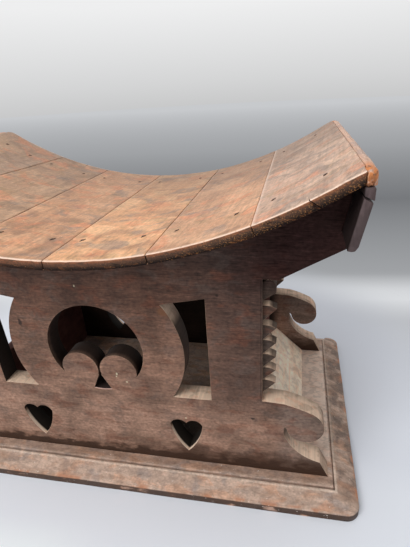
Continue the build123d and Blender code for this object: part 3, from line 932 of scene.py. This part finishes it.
# ---- nails, as they are in the frame ----

for name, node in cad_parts.items():
    if "nails" in name:
        node.data.materials.clear()
        node.data.materials.append(nail_iron)


# ---- floor, lights and camera ----


def studio_rays(finish):
    """Everything where a ray would show the studio, by sight, by gloss or through a clear thing."""
    kinds = [finish.add("LightPath", {}, f"Is {kind} Ray") for kind in ("Camera", "Glossy", "Transmission")]
    return finish.calc("MAXIMUM", finish.calc("MAXIMUM", *kinds[:2]), kinds[2])


def shades(finish, place, stops, cool):
    """A run of greys along a value, a little cooler than grey."""
    shade = finish.add("ValToRGB", {"Fac": place}, "Color")
    ramp = shade.node.color_ramp
    while len(ramp.elements) < len(stops):
        ramp.elements.new(1.0)
    for element, (position, grey) in zip(ramp.elements, stops):
        element.position, element.color = position, paint(grey - cool, grey, grey + 1.5 * cool)
    return shade


paper_radius, paper_slant, paper_drop = 8.0, 0.081, 0.2 * MM
# how the paper is shaded: places in metres to the rear, and greys
paper_greys = (
    (-0.2, 222), (0.0, 195), (0.2, 185), (0.28, 218), (0.32, 212), (0.4, 160),
    (1.0, 120), (2.2, 160), (6.5, 200),
)


def floor_finish():
    """Pale paper, lit around the stool and beyond it shaded in bands that run past the stool's rear."""
    paper = Finish("pale_paper", paint(232, 236, 244), specular=0.1)
    distance = paper.add("VectorMath", {0: paper.where}, "Value", operation="LENGTH")
    nearest, reach = paper_greys[0][0], paper_radius - paper_greys[0][0]
    across = paper.calc("SUBTRACT", paper.along("Y"), paper.times(paper.along("X"), paper_slant))
    share = paper.times(paper.calc("SUBTRACT", across, nearest), 1 / reach)
    run = paper.calc("POWER", paper.calc("MAXIMUM", share, 0.0), 0.5)
    stops = [(sqrt((place - nearest) / reach), grey) for place, grey in paper_greys]
    shade = shades(paper, run, stops, 2.0)
    # painted light: the paper paler in front of the stool, more so to the front left
    paper.lay(paper.band(across, -0.09, -0.15), paint(238, 242, 249))
    left_front = paper.times(paper.band(across, -0.185, -0.225), paper.band(paper.along("X"), 0.04, -0.06))
    paper.lay(left_front, paint(246, 252, 255))
    # beyond the stool the paper glows, in painted shade bands, for sight, gloss and clear things only
    glow = paper.add("Emission", {"Color": shade, "Strength": 1.0})
    far = paper.times(paper.band(distance, 0.34, 0.52), studio_rays(paper))
    paper.done(0.9)
    mix = paper.add("MixShader", {0: far, 1: paper.shader, 2: glow})
    paper.links.new(mix, paper.nodes["Material Output"].inputs["Surface"])
    return paper.material


ground = bmesh.new()
dropped = Matrix.Translation((0, 0, -paper_drop))
bmesh.ops.create_circle(ground, cap_ends=True, segments=64, radius=paper_radius, matrix=dropped)
ground_mesh = bpy.data.meshes.new("paper_floor")
ground.to_mesh(ground_mesh)
ground.free()
ground_mesh.materials.append(floor_finish())
floor = bpy.data.objects.new("paper_floor", ground_mesh)
bpy.context.collection.objects.link(floor)


class Studio(Finish):
    """The world around the stool: an even light, and a backdrop that pales with height."""

    def __init__(self, name):
        world = bpy.data.worlds.new(name)
        bpy.context.scene.world = world
        world.use_nodes = True
        self.nodes, self.links = world.node_tree.nodes, world.node_tree.links
        self.where = self.add("TexCoord", {}, "Generated")


# how the backdrop is shaded: slopes of the line of sight, which is 1 straight up, and greys
sky_greys = ((-0.1, 184), (0.0, 211), (0.14, 238))
studio = Studio("studio")
rise_up = studio.calc("ADD", studio.times(studio.along("Z"), 0.5), 0.5)
backdrop = shades(studio, rise_up, [(0.5 + 0.5 * slope, grey) for slope, grey in sky_greys], 0.4)
dim = studio.nodes["Background"]
dim.inputs["Color"].default_value = paint(206, 206, 208)
dim.inputs["Strength"].default_value = 0.75
seen = studio.add("Background", {"Color": backdrop, "Strength": 1.0})
sky = studio.add("MixShader", {0: studio_rays(studio), 1: dim, 2: seen})
studio.links.new(sky, studio.nodes["World Output"].inputs["Surface"])


def soft_light(name, place, target, size, power):
    lamp = bpy.data.lights.new(name, "AREA")
    lamp.shape, lamp.size, lamp.energy = "DISK", size, power
    light = bpy.data.objects.new(name, lamp)
    light.location = place
    light.rotation_euler = (Vector(target) - Vector(place)).to_track_quat("-Z", "Y").to_euler()
    bpy.context.collection.objects.link(light)


soft_light("front_window", (-0.8, -1.5, 1.7), (0, 0, 0.15), 1.5, 30)
soft_light("overhead", (0.0, 0.3, 2.2), (0, 0, 0.2), 1.4, 8)

# the camera's place in metres and the way it looks
camera_place = Vector((0.18924, -0.41959, 0.39234))
right = Vector((0.98193, 0.18252, -0.04997))
down = Vector((0.03755, -0.44672, -0.89389))
forward = Vector((-0.18548, 0.87586, -0.44550))
# its picture in pixels: height, focal length, and how far the line of sight is off the middle
picture_height, focal_length, axis_right, axis_down = 547, 405.26, 10.63, 9.5
camera_data = bpy.data.cameras.new("camera")
camera_data.sensor_width = 36.0
camera_data.lens = focal_length / picture_height * camera_data.sensor_width
camera_data.shift_x = -axis_right / picture_height
camera_data.shift_y = axis_down / picture_height
camera = bpy.data.objects.new("camera", camera_data)
turn = Matrix((right, -down, -forward)).transposed()
camera.matrix_world = Matrix.Translation(camera_place) @ turn.to_4x4()
bpy.context.collection.objects.link(camera)
bpy.context.scene.camera = camera
bpy.context.scene.view_settings.view_transform = "Standard"
